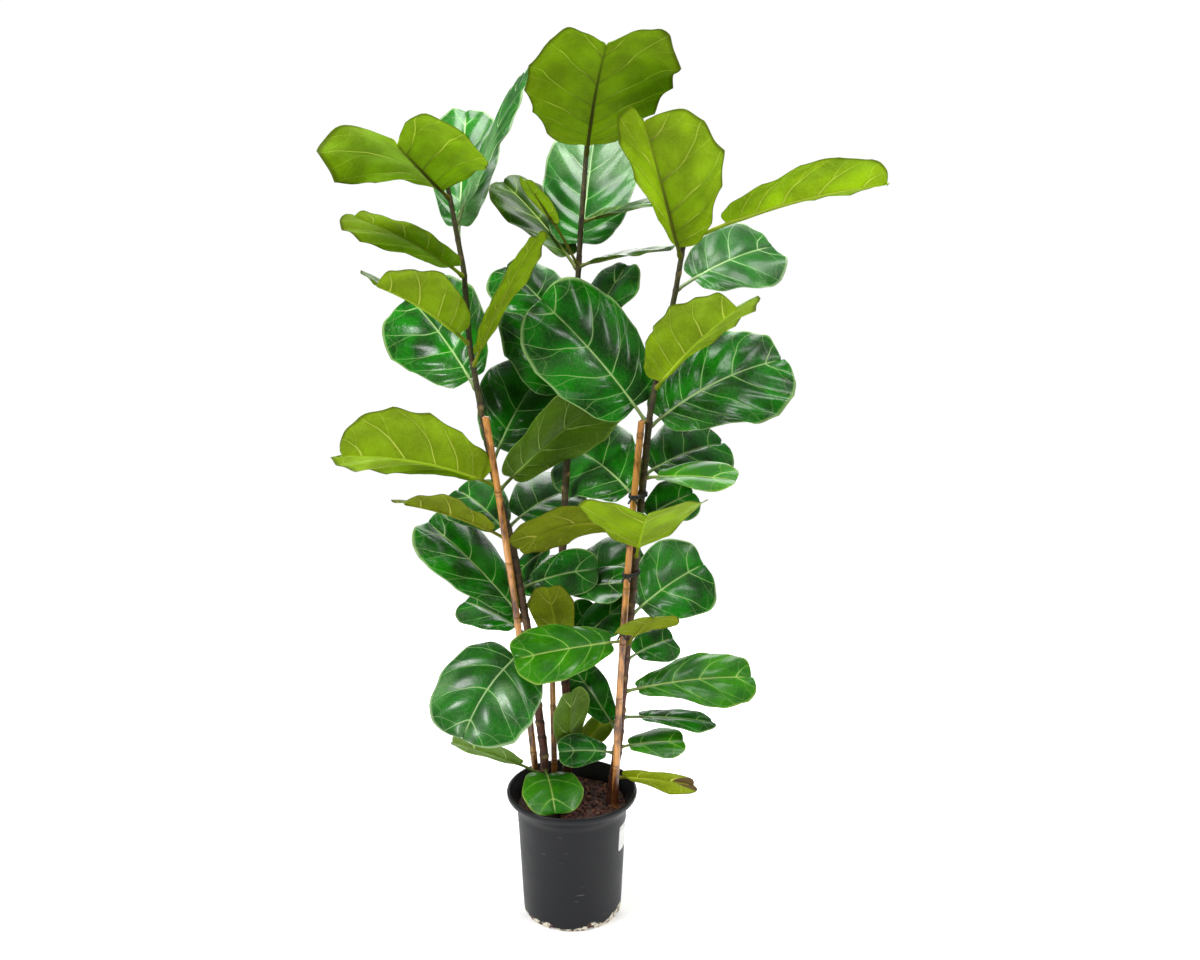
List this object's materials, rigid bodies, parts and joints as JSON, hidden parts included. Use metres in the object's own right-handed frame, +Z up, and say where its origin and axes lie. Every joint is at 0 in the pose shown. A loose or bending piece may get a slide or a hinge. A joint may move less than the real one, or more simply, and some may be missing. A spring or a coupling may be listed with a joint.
{
  "type": "potted fiddle leaf fig",
  "caption": "Tall multi-stem fiddle leaf fig with broad waisted leaves, tied to bamboo canes, in a round flared plastic nursery pot.",
  "frame": {"origin": "centre of the pot's flat underside, on the surface it stands on", "axes": "+Z up along the pot's axis, -Y towards the front of the plant, +X to the right as seen from the front"},
  "size_m": [0.9648, 0.5139, 1.6836],
  "materials": {
    "pot_plastic": "matte black moulded plastic, scuffed and dusty at the base",
    "soil": "dark red-brown moist bark and peat mix",
    "bark": "dark red-brown bark low down, greener towards the top, with ringed leaf scars",
    "bamboo": "dry tan bamboo cane with darker nodes",
    "tie_rubber": "soft dark green plant tie",
    "leaf_mature": "deep green glossy upper side with pale veins, duller paler underside",
    "leaf_fresh": "mid green semi-gloss with pale veins",
    "leaf_young": "lime green satin with yellow-green veins, light shows through",
    "leaf_aged": "yellowing satin leaf with browned tip",
    "label_film": "blank white label film on the side of the pot"
  },
  "bodies": {
    "root": {"pot": "pot_plastic", "soil": "soil", "stem_left": "bark", "stake_left": "bamboo", "stem_middle": "bark", "stake_middle": "bamboo", "stem_right": "bark", "stake_right": "bamboo", "tie_1": "tie_rubber", "tie_2": "tie_rubber", "tie_3": "tie_rubber", "left_leaf_01": "leaf_fresh", "left_leaf_02": "leaf_fresh", "left_leaf_03": "leaf_mature", "left_leaf_04": "leaf_mature", "left_leaf_05": "leaf_mature", "left_leaf_06": "leaf_mature", "left_leaf_07": "leaf_aged", "left_leaf_08": "leaf_mature", "left_leaf_09": "leaf_mature", "left_leaf_10": "leaf_fresh", "left_leaf_11": "leaf_young", "left_leaf_12": "leaf_mature", "left_leaf_13": "leaf_mature", "left_leaf_14": "leaf_young", "left_leaf_15": "leaf_young", "left_leaf_16": "leaf_young", "left_leaf_17": "leaf_mature", "left_leaf_18": "leaf_mature", "left_leaf_19": "leaf_young", "middle_leaf_01": "leaf_mature", "middle_leaf_02": "leaf_mature", "middle_leaf_03": "leaf_mature", "middle_leaf_04": "leaf_mature", "middle_leaf_05": "leaf_mature", "middle_leaf_06": "leaf_mature", "middle_leaf_07": "leaf_young", "middle_leaf_08": "leaf_mature", "middle_leaf_09": "leaf_mature", "middle_leaf_10": "leaf_young", "right_leaf_01": "leaf_aged", "right_leaf_02": "leaf_fresh", "right_leaf_03": "leaf_mature", "right_leaf_04": "leaf_mature", "right_leaf_05": "leaf_fresh", "right_leaf_06": "leaf_mature", "right_leaf_07": "leaf_aged", "right_leaf_08": "leaf_fresh", "right_leaf_09": "leaf_mature", "right_leaf_10": "leaf_young", "right_leaf_11": "leaf_aged", "right_leaf_12": "leaf_mature", "right_leaf_13": "leaf_fresh", "right_leaf_14": "leaf_mature", "right_leaf_15": "leaf_mature", "right_leaf_16": "leaf_mature", "right_leaf_17": "leaf_young", "right_leaf_18": "leaf_mature", "right_leaf_19": "leaf_young", "right_leaf_20": "leaf_young"}
  },
  "joints": []
}
